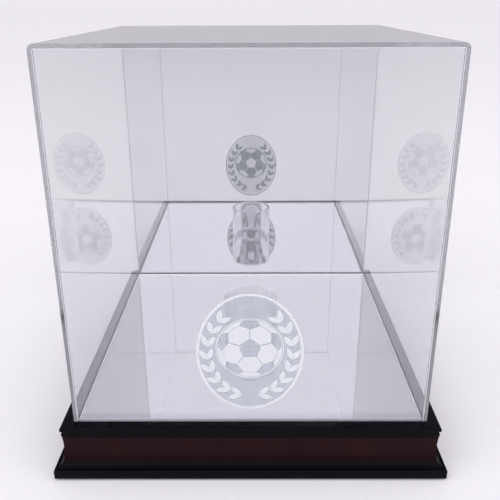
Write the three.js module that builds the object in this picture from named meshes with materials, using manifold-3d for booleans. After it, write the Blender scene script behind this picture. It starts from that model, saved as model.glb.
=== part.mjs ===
// A tabletop display case for a full-size football: a clear cover with a mirrored back lifts
// off a stepped wooden base, and the ball sits on a short clear tube on the base's mirror.
//
// Millimetres, +Z up, -Y to the front. The origin is the centre of the footprint, on the
// surface that the four pads stand on.

import * as THREE from "three";
import { mergeVertices } from "three/addons/utils/BufferGeometryUtils.js";
import Module from "manifold-3d";

// ---- Driving dimensions ----------------------------------------------------------------

const COVER_SIDE = 275; // outside of the cover, the same in width and in depth
const COVER_RISE = 282; // from the deck to the top of the cover
const SHEET = 3; // acrylic sheet of the cover and of both mirrors
const BEND_RADIUS = 4; // outside radius where the cover's sides turn into its top

const STAND_DIAMETER = 51; // clear tube that the ball sits on
const STAND_WALL = 3.2;
const STAND_HEIGHT = 38;
const STAND_CHAMFER = 0.5;

const TOP_BOARD = 9; // thickness of the board under the mirror
const COVE_HEIGHT = 19; // the mahogany moulding
const PLINTH_HEIGHT = 15; // the black moulding at the bottom
const RAIL_INSET = 6; // how far the rails' inner faces lie inside the cover's outer face
const BOTTOM_BOARD = 3;
const PAD_THICKNESS = 1.6;
const PAD_RADIUS = 7;

const GROOVE_PLAY = 0.5; // on each side of the cover's wall
const GLUE = 0.1; // glue line, or film of adhesive, between bonded pieces
const REST_GAP = 0.05; // between faces that only rest on each other
const MITRE_GAP = 0.15; // glue line at each mitred end

// Overhangs of the base's edge beyond the cover's outer face.
const LIP = 9.3; // rounded upper edge of the top board
const QUIRK = 8; // notch between the two beads
const BEAD = 8.9; // lower, smaller bead
const COVE = 8.1; // upper and lower end of the hollow moulding
const COVE_SAG = 1.1; // how far the hollow's control point lies inside those ends
const FLARE = 13; // foot of the plinth's flare
const PLINTH = 15.4; // the plinth's upright face

const BLOCK_LEG = 44; // legs of the triangular corner blocks
const TOP_SCREW_INSET = 8; // from both faces of the block's corner to the top board's screw
const BOARD_SCREW_INSET = 17; // the same, to the bottom board's screw
const PAD_INSET = 12.5; // from the cover's outer face to a pad's centre

const SCREW_RADIUS = 1.6;
const SCREW_CLEARANCE = 0.1;
const FLAT_HEAD_RADIUS = 3.2;
const FLAT_HEAD_HEIGHT = 1.8;
const PAN_HEAD_RADIUS = 3;
const PAN_HEAD_HEIGHT = 1.2;
const BOARD_SCREW_LENGTH = 15;
const TOP_BITE = 4.4; // how far a screw goes into the top board

const ROUND_STEPS = 24; // sides of screws and pads
const TUBE_STEPS = 48;
const CURVE_STEPS = 6;

// ---- Levels and half widths that follow from them ----------------------------------------

const half = COVER_SIDE / 2;
const deck = PAD_THICKNESS + PLINTH_HEIGHT + COVE_HEIGHT + TOP_BOARD;
const top = deck + COVER_RISE;
const topBoardUnder = deck - TOP_BOARD;
const coveUnder = topBoardUnder - COVE_HEIGHT;
const plinthUnder = PAD_THICKNESS;
const boardTop = plinthUnder + BOTTOM_BOARD;
const recessDepth = SHEET + GLUE;
const recessFloor = deck - recessDepth;
const coverFoot = recessFloor + REST_GAP;
const mirrorHalf = half - SHEET - GROOVE_PLAY;
const blockCorner = half - RAIL_INSET - GLUE;
const blockUnder = boardTop + GLUE;
const blockTop = topBoardUnder - GLUE;

// ---- Materials ---------------------------------------------------------------------------

const material = (color, roughness, metalness = 0, more = {}) =>
  new THREE.MeshStandardMaterial({ color, roughness, metalness, ...more });

const clearAcrylic = material(0xe4e4ee, 0.05, 0, { transparent: true, opacity: 0.25 });
const mirrorAcrylic = material(0xd8dade, 0.03, 1);
const blackLacquer = material(0x15141a, 0.25);
const mahoganyLacquer = material(0x35161a, 0.3);
const pine = material(0xc9a873, 0.7);
const hardboard = material(0x5b4331, 0.85);
const zincPlate = material(0xb8bbc0, 0.35, 1);
const blackFelt = material(0x1a1a1c, 0.95);

// ---- Helpers -----------------------------------------------------------------------------

const wasm = await Module();
wasm.setup();

/** A closed geometry as a manifold-3d solid, with only its positions kept. */
function solidFrom(geometry) {
  const bare = new THREE.BufferGeometry();
  const source = geometry.index ? geometry.toNonIndexed() : geometry;
  bare.setAttribute("position", source.getAttribute("position").clone());
  const merged = mergeVertices(bare, 1e-4);
  return new wasm.Manifold(
    new wasm.Mesh({
      numProp: 3,
      vertProperties: merged.attributes.position.array,
      triVerts: new Uint32Array(merged.index.array),
    }),
  );
}

/** A manifold-3d solid as a three.js geometry. */
function geometryFrom(solid) {
  const mesh = solid.getMesh();
  const geometry = new THREE.BufferGeometry();
  geometry.setAttribute("position", new THREE.BufferAttribute(mesh.vertProperties, 3));
  geometry.setIndex(new THREE.BufferAttribute(mesh.triVerts, 1));
  geometry.computeVertexNormals();
  return geometry;
}

/** The geometry with every tool geometry cut out of it. */
function cut(geometry, tools) {
  let solid = solidFrom(geometry);
  for (const tool of tools) solid = solid.subtract(solidFrom(tool));
  return geometryFrom(solid);
}

/** A path's points revolved round the Z axis. They run upwards, from the axis back to it. */
function turned(path, steps, startAngle = 0) {
  const points = path.getPoints(CURVE_STEPS);
  const geometry = new THREE.LatheGeometry(points, steps, startAngle);
  return geometry.rotateX(Math.PI / 2);
}

/** A cylinder that stands on the height `low`, at x and y. */
function post(x, y, low, high, radius, topRadius = radius) {
  const geometry = new THREE.CylinderGeometry(topRadius, radius, high - low, ROUND_STEPS);
  return geometry.rotateX(Math.PI / 2).translate(x, y, (low + high) / 2);
}

function mesh(name, geometry, finish) {
  const made = new THREE.Mesh(geometry, finish);
  made.name = name;
  return made;
}

/** The four places at one distance from both axes, from +X +Y and on round by quarter turns. */
function onDiagonals(distance) {
  return [
    [distance, distance],
    [-distance, distance],
    [-distance, -distance],
    [distance, -distance],
  ];
}

// ---- Base --------------------------------------------------------------------------------

// Places of the screws, in the four corners. Each block holds one screw of each kind.
const topScrewPlaces = onDiagonals(blockCorner - TOP_SCREW_INSET);
const boardScrewPlaces = onDiagonals(blockCorner - BOARD_SCREW_INSET);
const padPlaces = onDiagonals(half - PAD_INSET);

/** The bore for a screw's shank. */
function screwBore([x, y], low, high) {
  return post(x, y, low, high, SCREW_RADIUS + SCREW_CLEARANCE);
}

/**
 * The board that carries the mirror, with a double bead round its edge and a square recess
 * for the mirror and the cover's foot. A lathe with four steps gives the square outline with
 * its mitred bead: a radius is a half width times the square root of two.
 */
function topBoard() {
  const corner = (overhang) => (half + overhang) * Math.SQRT2;
  const edge = new THREE.Path();
  edge.moveTo(0, topBoardUnder);
  edge.lineTo(corner(COVE), topBoardUnder);
  edge.quadraticCurveTo(corner(BEAD + 0.3), deck - 7.1, corner(QUIRK), deck - 5.4);
  edge.lineTo(corner(QUIRK), deck - 4.4);
  edge.quadraticCurveTo(corner(LIP), deck - 4.1, corner(LIP), deck - 2.4);
  edge.quadraticCurveTo(corner(LIP), deck, corner(LIP - 2.7), deck);
  edge.lineTo(corner(GROOVE_PLAY), deck);
  edge.lineTo(corner(GROOVE_PLAY), recessFloor);
  edge.lineTo(0, recessFloor);
  const board = turned(edge, 4, Math.PI / 4);
  const biteTop = topBoardUnder + TOP_BITE + SCREW_CLEARANCE;
  const bores = topScrewPlaces.map((place) => screwBore(place, topBoardUnder - 1, biteTop));
  return cut(board, bores);
}

/**
 * One side's length of moulding, along X at the front. The profile's x is the overhang beyond
 * the cover's outer face and its y is the height, and each point runs as far to both sides as
 * it lies from the centre, which mitres both ends.
 */
function mitredRail(profile) {
  const geometry = new THREE.ExtrudeGeometry(profile, {
    depth: 1,
    bevelEnabled: false,
    curveSegments: CURVE_STEPS,
  });
  const place = geometry.getAttribute("position");
  for (let i = 0; i < place.count; i++) {
    const reach = half + place.getX(i);
    const end = 1 - 2 * place.getZ(i);
    place.setXYZ(i, end * (reach - MITRE_GAP), -reach, place.getY(i));
  }
  geometry.computeVertexNormals();
  return geometry;
}

/** The hollow mahogany moulding under the top board. */
function coveProfile() {
  const high = topBoardUnder - GLUE;
  const profile = new THREE.Shape();
  profile.moveTo(-RAIL_INSET, coveUnder);
  profile.lineTo(COVE, coveUnder);
  profile.quadraticCurveTo(COVE - COVE_SAG, (coveUnder + high) / 2, COVE, high);
  profile.lineTo(-RAIL_INSET, high);
  return profile;
}

/** The black moulding that flares out to the plinth, with a rebate for the bottom board. */
function plinthProfile() {
  const high = coveUnder - GLUE;
  const flareFoot = high - 6.4;
  const ledge = flareFoot - 0.7;
  const profile = new THREE.Shape();
  profile.moveTo(-RAIL_INSET, boardTop + GLUE);
  profile.lineTo(-1, boardTop + GLUE);
  profile.lineTo(-1, plinthUnder);
  profile.lineTo(PLINTH - 0.5, plinthUnder);
  profile.lineTo(PLINTH, plinthUnder + 0.5);
  profile.lineTo(PLINTH, ledge - 1);
  profile.quadraticCurveTo(PLINTH, ledge, PLINTH - 1, ledge);
  profile.lineTo(FLARE, ledge);
  profile.lineTo(FLARE, flareFoot);
  profile.quadraticCurveTo(COVE + 0.5, flareFoot + 0.9, COVE, high);
  profile.lineTo(-RAIL_INSET, high);
  return profile;
}

/** The four lengths of one moulding, turned round the base. */
function frameOf(layer, profile, finish) {
  const frame = new THREE.Group();
  ["front", "right", "back", "left"].forEach((side, turn) => {
    const rail = mesh(`${layer}_rail_${side}`, mitredRail(profile), finish);
    rail.rotation.z = (turn * Math.PI) / 2;
    frame.add(rail);
  });
  return frame;
}

/** A triangular glue block in the corner at +X +Y, bored for its two screws. */
function cornerBlock() {
  const outline = new THREE.Shape();
  outline.moveTo(blockCorner, blockCorner);
  outline.lineTo(blockCorner - BLOCK_LEG, blockCorner);
  outline.lineTo(blockCorner, blockCorner - BLOCK_LEG);
  const height = blockTop - blockUnder;
  const block = new THREE.ExtrudeGeometry(outline, { depth: height, bevelEnabled: false });
  block.translate(0, 0, blockUnder);
  const [flatX, flatY] = topScrewPlaces[0];
  const headFit = SCREW_CLEARANCE;
  return cut(block, [
    screwBore(topScrewPlaces[0], blockUnder - 1, blockTop + 1),
    post(
      flatX,
      flatY,
      blockUnder - headFit,
      blockUnder + FLAT_HEAD_HEIGHT + headFit,
      FLAT_HEAD_RADIUS + headFit,
      SCREW_RADIUS + headFit,
    ),
    screwBore(
      boardScrewPlaces[0],
      blockUnder - 1,
      plinthUnder + BOARD_SCREW_LENGTH + SCREW_CLEARANCE,
    ),
  ]);
}

/** A cross recess for a screw's head, at the origin and open downwards. */
function crossRecess(size, depth) {
  const slot = 0.7;
  return [
    new THREE.BoxGeometry(size, slot, 2 * depth),
    new THREE.BoxGeometry(slot, size, 2 * depth),
  ];
}

/** A countersunk screw that stands on its head, its head's face at z = 0. */
function flatScrew(length) {
  const outline = new THREE.Path();
  outline.moveTo(0, 0);
  outline.lineTo(FLAT_HEAD_RADIUS, 0);
  outline.lineTo(SCREW_RADIUS, FLAT_HEAD_HEIGHT);
  outline.lineTo(SCREW_RADIUS, length - SCREW_RADIUS);
  outline.lineTo(0, length);
  return cut(turned(outline, ROUND_STEPS), crossRecess(3.2, 1));
}

/** A pan-head screw that stands on its head, the underside of the head at z = 0. */
function panScrew(length) {
  const outline = new THREE.Path();
  outline.moveTo(0, -PAN_HEAD_HEIGHT);
  outline.lineTo(PAN_HEAD_RADIUS - 1, -PAN_HEAD_HEIGHT);
  outline.quadraticCurveTo(PAN_HEAD_RADIUS, -PAN_HEAD_HEIGHT, PAN_HEAD_RADIUS, 0);
  outline.lineTo(SCREW_RADIUS, 0);
  outline.lineTo(SCREW_RADIUS, length - SCREW_RADIUS);
  outline.lineTo(0, length);
  const recess = crossRecess(3, 0.8).map((slot) => slot.translate(0, 0, -PAN_HEAD_HEIGHT));
  return cut(turned(outline, ROUND_STEPS), recess);
}

/** The thin board that closes the hollow base and carries the pads. */
function bottomBoard() {
  const side = 2 * (half - 1 - 0.3);
  const board = new THREE.BoxGeometry(side, side, BOTTOM_BOARD);
  board.translate(0, 0, plinthUnder + BOTTOM_BOARD / 2);
  const bores = boardScrewPlaces.map((place) => screwBore(place, 0, boardTop + 1));
  return cut(board, bores);
}

/** A felt pad at the origin, standing on z = 0. */
function pad() {
  const outline = new THREE.Path();
  const edge = 0.4;
  outline.moveTo(0, 0);
  outline.lineTo(PAD_RADIUS - edge, 0);
  outline.lineTo(PAD_RADIUS, edge);
  outline.lineTo(PAD_RADIUS, PAD_THICKNESS - REST_GAP);
  outline.lineTo(0, PAD_THICKNESS - REST_GAP);
  return turned(outline, ROUND_STEPS);
}

function floorMirror() {
  const mirror = new THREE.BoxGeometry(2 * mirrorHalf, 2 * mirrorHalf, SHEET);
  return mirror.translate(0, 0, deck - SHEET / 2);
}

function base() {
  const group = new THREE.Group();
  group.add(mesh("top_board", topBoard(), blackLacquer));
  group.add(mesh("floor_mirror", floorMirror(), mirrorAcrylic));
  group.add(frameOf("cove", coveProfile(), mahoganyLacquer));
  group.add(frameOf("plinth", plinthProfile(), blackLacquer));
  group.add(mesh("bottom_board", bottomBoard(), hardboard));

  const flatLength = topBoardUnder + TOP_BITE - blockUnder;
  const corners = ["back_right", "back_left", "front_left", "front_right"];
  corners.forEach((corner, turn) => {
    const block = mesh(`corner_block_${corner}`, cornerBlock(), pine);
    block.rotation.z = (turn * Math.PI) / 2;
    const topScrew = mesh(`top_screw_${corner}`, flatScrew(flatLength), zincPlate);
    topScrew.position.set(...topScrewPlaces[turn], blockUnder);
    const boardScrew = mesh(`board_screw_${corner}`, panScrew(BOARD_SCREW_LENGTH), zincPlate);
    boardScrew.position.set(...boardScrewPlaces[turn], plinthUnder - REST_GAP);
    const foot = mesh(`foot_pad_${corner}`, pad(), blackFelt);
    foot.position.set(...padPlaces[turn], 0);
    group.add(block, topScrew, boardScrew, foot);
  });
  return group;
}

// ---- Cover -------------------------------------------------------------------------------

/** One sheet bent into the left side, the top and the right side, as long as it is deep. */
function coverWrap() {
  const inner = half - SHEET;
  const innerTop = top - SHEET;
  const innerRadius = BEND_RADIUS - SHEET;
  const bendX = half - BEND_RADIUS;
  const bendZ = top - BEND_RADIUS;
  const outline = new THREE.Shape();
  outline.moveTo(half, coverFoot);
  outline.lineTo(half, bendZ);
  outline.absarc(bendX, bendZ, BEND_RADIUS, 0, Math.PI / 2);
  outline.lineTo(-bendX, top);
  outline.absarc(-bendX, bendZ, BEND_RADIUS, Math.PI / 2, Math.PI);
  outline.lineTo(-half, coverFoot);
  outline.lineTo(-inner, coverFoot);
  outline.lineTo(-inner, bendZ);
  outline.absarc(-bendX, bendZ, innerRadius, Math.PI, Math.PI / 2, true);
  outline.lineTo(bendX, innerTop);
  outline.absarc(bendX, bendZ, innerRadius, Math.PI / 2, 0, true);
  outline.lineTo(inner, coverFoot);
  const wrap = new THREE.ExtrudeGeometry(outline, {
    depth: COVER_SIDE,
    bevelEnabled: false,
    curveSegments: 2 * CURVE_STEPS,
  });
  return wrap.rotateX(Math.PI / 2).translate(0, half, 0);
}

/** A flat panel bonded between the wrap's sides, from y = 0 backwards. */
function endPanel() {
  const side = half - SHEET - GLUE;
  const high = top - SHEET - GLUE;
  const radius = BEND_RADIUS - SHEET;
  const outline = new THREE.Shape();
  outline.moveTo(-side, coverFoot);
  outline.lineTo(side, coverFoot);
  outline.lineTo(side, high - radius);
  outline.absarc(side - radius, high - radius, radius, 0, Math.PI / 2);
  outline.lineTo(radius - side, high);
  outline.absarc(radius - side, high - radius, radius, Math.PI / 2, Math.PI);
  const panel = new THREE.ExtrudeGeometry(outline, {
    depth: SHEET,
    bevelEnabled: false,
    curveSegments: CURVE_STEPS,
  });
  return panel.rotateX(Math.PI / 2).translate(0, SHEET, 0);
}

function cover() {
  const group = new THREE.Group();
  const front = mesh("cover_front", endPanel(), clearAcrylic);
  front.position.y = -half;
  const back = mesh("cover_back_mirror", endPanel(), mirrorAcrylic);
  back.position.y = half - SHEET;
  group.add(mesh("cover_wrap", coverWrap(), clearAcrylic), front, back);
  return group;
}

// ---- Ball stand --------------------------------------------------------------------------

/** A loose length of clear tube with its edges eased, on the mirror. */
function ballStand() {
  const outer = STAND_DIAMETER / 2;
  const inner = outer - STAND_WALL;
  const ease = STAND_CHAMFER;
  const wall = new THREE.Path();
  wall.moveTo(inner + ease, 0);
  wall.lineTo(outer - ease, 0);
  wall.lineTo(outer, ease);
  wall.lineTo(outer, STAND_HEIGHT - ease);
  wall.lineTo(outer - ease, STAND_HEIGHT);
  wall.lineTo(inner + ease, STAND_HEIGHT);
  wall.lineTo(inner, STAND_HEIGHT - ease);
  wall.lineTo(inner, ease);
  wall.lineTo(inner + ease, 0);
  const stand = mesh("ball_stand", turned(wall, TUBE_STEPS), clearAcrylic);
  stand.position.z = deck + REST_GAP;
  return stand;
}

// ---- The case ----------------------------------------------------------------------------

const displayCase = new THREE.Group();
displayCase.add(base(), cover(), ballStand());

export default displayCase;
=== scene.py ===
"""The finished surfaces of a tabletop display case for a football.

A clear cover with a mirrored back stands in a groove round the mirror of a stepped wooden base,
and a short clear tube on the mirror carries the ball. Everything is in metres, in the part's own
frame: +Z up, -Y to the front, the centre of the footprint at the origin.
"""

import bmesh
import bpy
import numpy as np
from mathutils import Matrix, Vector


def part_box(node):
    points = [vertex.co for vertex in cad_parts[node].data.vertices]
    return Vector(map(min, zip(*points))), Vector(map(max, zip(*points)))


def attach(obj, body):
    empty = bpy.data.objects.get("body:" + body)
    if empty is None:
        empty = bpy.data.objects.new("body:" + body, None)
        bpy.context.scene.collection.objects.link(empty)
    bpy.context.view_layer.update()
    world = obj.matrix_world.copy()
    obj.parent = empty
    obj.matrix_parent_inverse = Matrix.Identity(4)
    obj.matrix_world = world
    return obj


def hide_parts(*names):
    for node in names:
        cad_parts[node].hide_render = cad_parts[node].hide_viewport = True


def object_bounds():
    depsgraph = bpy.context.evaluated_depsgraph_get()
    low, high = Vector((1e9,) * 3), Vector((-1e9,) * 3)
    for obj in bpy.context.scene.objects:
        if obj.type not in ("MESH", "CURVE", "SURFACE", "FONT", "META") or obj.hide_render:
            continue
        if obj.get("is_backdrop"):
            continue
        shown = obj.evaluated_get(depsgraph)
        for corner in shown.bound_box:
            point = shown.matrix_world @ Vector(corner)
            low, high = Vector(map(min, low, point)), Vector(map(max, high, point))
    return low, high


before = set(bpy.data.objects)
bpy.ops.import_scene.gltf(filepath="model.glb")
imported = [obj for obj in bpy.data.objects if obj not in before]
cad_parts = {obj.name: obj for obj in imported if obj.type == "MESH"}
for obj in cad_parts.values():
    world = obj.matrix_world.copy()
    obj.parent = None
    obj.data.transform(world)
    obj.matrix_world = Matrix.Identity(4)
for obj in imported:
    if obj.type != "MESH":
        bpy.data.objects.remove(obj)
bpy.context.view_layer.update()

# ---- Top board -----------------------------------------------------------------------------
# A square of fibreboard with a double bead routed round its edge and a shallow recess for the
# mirror and the cover's foot. It is sprayed black, polished, and glued on the mouldings.

MM = 0.001
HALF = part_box("cover_wrap")[1].x  # overhangs are counted from the cover's outer face
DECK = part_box("top_board")[1].z
BOARD_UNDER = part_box("top_board")[0].z
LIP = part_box("top_board")[1].x - HALF
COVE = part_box("cove_rail_right")[1].x - HALF
GLUE = 0.1 * MM  # under the mirror
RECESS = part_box("floor_mirror")[0].z - GLUE
GROOVE_PLAY = 0.5 * MM
OUTER_CORNER, RECESS_CORNER = 0.8 * MM, 0.25 * MM
SHARP = np.radians(32)  # edges that turn by more than this are drawn sharp, or eased
# The lacquer's black, also painted as shade at the top of the mahogany strip.
LACQUER_AND_SHADE_BLACK = "#050408"
LACQUER_HANDLED = "#0a080e"
HANDLED_PATCH = 45 * MM
ORANGE_PEEL = 1.4 * MM  # the faint dimples that sprayed lacquer dries with


def bezier(start, control, end, steps=14):
    """A quadratic curve: the three points weighted by (1-t)^2, 2t(1-t) and t^2."""
    t = np.linspace(0, 1, steps + 1)[:, None]
    weights = np.hstack([(1 - t) ** 2, 2 * t * (1 - t), t**2])
    return weights @ np.array([start, control, end])


def square_loops(profile, corner, steps=5):
    """A grid with one loop for each point of a profile of half width and height.

    Each loop is a square with round corners: a corner's centre lies its radius inside both
    sides, and the loop's points go round the four quarter circles, with straight runs between.
    """
    reach, height = np.transpose(profile)[:, :, None]
    corner = np.reshape(np.broadcast_to(corner, len(profile)), (-1, 1))
    quarter = np.repeat(np.arange(4), steps + 1) * np.pi / 2
    turn = quarter + np.tile(np.linspace(0, np.pi / 2, steps + 1), 4)
    inner = reach - corner
    x = np.sign(np.cos(quarter + np.pi / 4)) * inner + corner * np.cos(turn)
    y = np.sign(np.sin(quarter + np.pi / 4)) * inner + corner * np.sin(turn)
    return np.stack([x, y, np.broadcast_to(height, x.shape)], -1)


def grid_mesh(name, grid, ring=False, capped=True, uv=None):
    """Quads between the neighbours in a grid of points[row, column], or in a stack of grids.

    A grid's last column always joins its first, and ring joins its last row to its first.
    capped closes the first and last row with one face each. Points that fall together are
    merged, which closes a pole. uv holds the distance along the columns and along the rows.
    """
    rows, columns = grid.shape[-3:-1]
    grids = grid.reshape(-1, rows, columns, 3)
    number = np.arange(grids.size // 3).reshape(-1, rows, columns)
    beside = np.roll(number, -1, 2)
    last = rows if ring else rows - 1
    above, above_beside = np.roll(number, -1, 1), np.roll(beside, -1, 1)
    quads = np.stack([number, beside, above_beside, above], -1)[:, :last]
    faces = quads.reshape(-1, 4).tolist()
    if capped and not ring:
        faces += number[:, 0, ::-1].tolist() + number[:, -1].tolist()
    mesh = bpy.data.meshes.new(name)
    mesh.from_pydata(grids.reshape(-1, 3), [], faces)
    if uv is not None:
        around, onward = uv
        row, column = np.divmod(np.arange(last * columns), columns)
        u = onward[np.stack([row, row, row + 1, row + 1], -1)]
        v = around[np.stack([column, column + 1, column + 1, column], -1)]
        flat = np.zeros((len(mesh.loops), 2), np.float32)
        flat[: u.size] = np.stack([u, v], -1).reshape(-1, 2)
        mesh.uv_layers.new(name="along").data.foreach_set("uv", flat.ravel())
    work = bmesh.new()
    work.from_mesh(mesh)
    bmesh.ops.remove_doubles(work, verts=work.verts, dist=1e-7)
    bmesh.ops.recalc_face_normals(work, faces=work.faces)
    work.to_mesh(mesh)
    work.free()
    mesh.shade_smooth()
    mesh.set_sharp_from_angle(angle=SHARP)
    return mesh


def place(name, mesh, material, body, stands_for=(), ease=0.0):
    """Makes the mesh a piece of the case, with its sharp edges eased to a width in metres."""
    piece = bpy.data.objects.new(name, mesh)
    bpy.context.scene.collection.objects.link(piece)
    mesh.materials.append(material)
    if ease:
        bevel = piece.modifiers.new("eased edges", "BEVEL")
        bevel.width = ease
        bevel.segments = 2
        bevel.limit_method = "ANGLE"
        bevel.angle_limit = SHARP
        bevel.use_clamp_overlap = False
        bevel.harden_normals = True
    if stands_for:
        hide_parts(*stands_for)
    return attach(piece, body)


def linear(colour):
    """An sRGB hex colour as linear RGBA: c/12.92 when dark, else ((c+0.055)/1.055)^2.4."""
    srgb = np.array([int(colour[i : i + 2], 16) for i in (1, 3, 5)]) / 255
    scaled = np.where(srgb < 0.04045, srgb / 12.92, ((srgb + 0.055) / 1.055) ** 2.4)
    return (*scaled.tolist(), 1.0)


def new_material(name):
    """A material with an empty node tree. Returns it and the tree."""
    material = bpy.data.materials.new(name)
    material.use_nodes = True
    material.node_tree.nodes.clear()
    return material, material.node_tree


def node(tree, kind, inputs=None, **settings):
    """Adds a shader node. An input's value is a number, a colour or the socket that feeds it."""
    made = tree.nodes.new("ShaderNode" + kind)
    for name, value in settings.items():
        setattr(made, name, value)
    for socket, value in (inputs or {}).items():
        if isinstance(value, bpy.types.NodeSocket):
            tree.links.new(value, made.inputs[socket])
        else:
            made.inputs[socket].default_value = value
    return made


def black_lacquer(name, blush=None):
    """Sprayed black lacquer, rubbed out to a soft gloss: dark, with long soft highlights.

    The eye sees faint orange peel in the highlights and a slightly duller, greyer film where
    it has been handled. blush is a colour that fades in over the black between two heights,
    up to the wine red strip above.
    """
    material, tree = new_material(name)
    where = node(tree, "TexCoord").outputs["Object"]
    handled = node(tree, "TexNoise", {"Vector": where, "Scale": 1 / HANDLED_PATCH, "Detail": 4.0})
    colour = node(tree, "Mix", {
        "Factor": handled.outputs["Fac"],
        "A": linear(LACQUER_AND_SHADE_BLACK),
        "B": linear(LACQUER_HANDLED),
    }, data_type="RGBA")
    if blush:
        stain, black_below, stained_above = blush
        # The wine red fades in over the black between the two heights.
        thin = node(tree, "MapRange", {
            "Value": node(tree, "SeparateXYZ", {"Vector": where}).outputs["Z"],
            "From Min": black_below,
            "From Max": stained_above,
        }, interpolation_type="SMOOTHSTEP")
        colour = node(tree, "Mix", {
            "Factor": thin.outputs["Result"],
            "A": colour.outputs["Result"],
            "B": linear(stain),
        }, data_type="RGBA")
    gloss = node(tree, "MapRange", {
        "Value": handled.outputs["Fac"],
        "From Min": 0.35,
        "From Max": 0.7,
        "To Min": 0.2,
        "To Max": 0.3,
    })
    dimples = node(tree, "TexNoise", {"Vector": where, "Scale": 1 / ORANGE_PEEL, "Detail": 1.0})
    bump = node(tree, "Bump", {
        "Height": dimples.outputs["Fac"],
        "Strength": 0.12,
        "Distance": 0.02 * MM,
    })
    skin = node(tree, "BsdfPrincipled", {
        "Base Color": colour.outputs["Result"],
        "Roughness": gloss.outputs["Result"],
        "IOR": 1.5,
        "Specular IOR Level": 0.06,
        "Normal": bump.outputs["Normal"],
    })
    node(tree, "OutputMaterial", {"Surface": skin.outputs["BSDF"]})
    return material


# From the underside's edge up over both beads to the deck, then down into the recess. Each
# point is (overhang, height above the deck).
QUIRK, BEAD = 8 * MM, 8.9 * MM
board_edge = np.vstack([
    bezier((COVE, BOARD_UNDER - DECK), (BEAD + 0.3 * MM, -7.1 * MM), (QUIRK, -5.4 * MM)),
    bezier((QUIRK, -4.4 * MM), (LIP, -4.1 * MM), (LIP, -2.4 * MM)),
    bezier((LIP, -2.4 * MM), (LIP, 0), (LIP - 2.7 * MM, 0))[1:],
    [(GROOVE_PLAY, 0), (GROOVE_PLAY, RECESS - DECK)],
]) + (HALF, DECK)
corner_radius = np.where(board_edge[:, 0] > HALF + 1 * MM, OUTER_CORNER, RECESS_CORNER)
BLACK = black_lacquer("sprayed_black_lacquer")
board_mesh = grid_mesh("top_board", square_loops(board_edge, corner_radius))
place("routed_top_board", board_mesh, BLACK, "base", ["top_board"], 0.15 * MM)

# ---- Mouldings -----------------------------------------------------------------------------
# Four lengths of hollow mahogany moulding under the top board, and four of black moulding that
# flare out to the plinth. All are mitred at the corners and glued over the corner blocks.

MITRE_GAP = 0.15 * MM
SIDES = ("front", "right", "back", "left")
RAIL_INNER = -6 * MM
MAHOGANY_DARK = "#14090b"
MAHOGANY_MID = "#200a0e"
MAHOGANY_WINE = "#18060a"  # the darker colour towards the strip's lower edge, and on the flare below it
MAHOGANY_RED = "#2c1013"
EDGE_FADE = 5 * MM  # the colour fades to wine red over this height from the lower edge; 0.3 of it at the upper edge fades to painted shade
GRAIN_WIDTH = 0.7 * MM
GRAIN_LENGTH = 45 * MM
FIGURE = 26 * MM  # slow ripple across the grain
GRAIN_SHIFT = 0.41  # how far apart along the stick two neighbouring lengths are cut, in metres


def moulding(name, profile, turn):
    """A closed profile of (overhang, height) carried along one side and mitred at both ends.

    A point at a reach of half the cover plus its overhang runs just as far to both sides, which
    cuts the ends at 45 degrees. turn is the number of quarter turns from the front.
    """
    reach = HALF + profile[:, 0]
    ends = np.array([-1, 1])[:, None]
    x = ends * (reach - MITRE_GAP)
    front = np.stack([x, np.broadcast_to(-reach, x.shape)], -1)
    angle = turn * np.pi / 2
    spin = np.array([[np.cos(angle), np.sin(angle)], [-np.sin(angle), np.cos(angle)]])
    height = np.broadcast_to(profile[:, 1], x.shape)[..., None]
    grid = np.concatenate([front @ spin, height], -1)
    loop = np.vstack([profile, profile[:1]])
    girth = np.concatenate([[0], np.cumsum(np.linalg.norm(np.diff(loop, axis=0), axis=1))])
    length = np.array([0, 2 * HALF]) + turn * GRAIN_SHIFT
    return grid_mesh(name, grid, uv=(girth, length))


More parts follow.
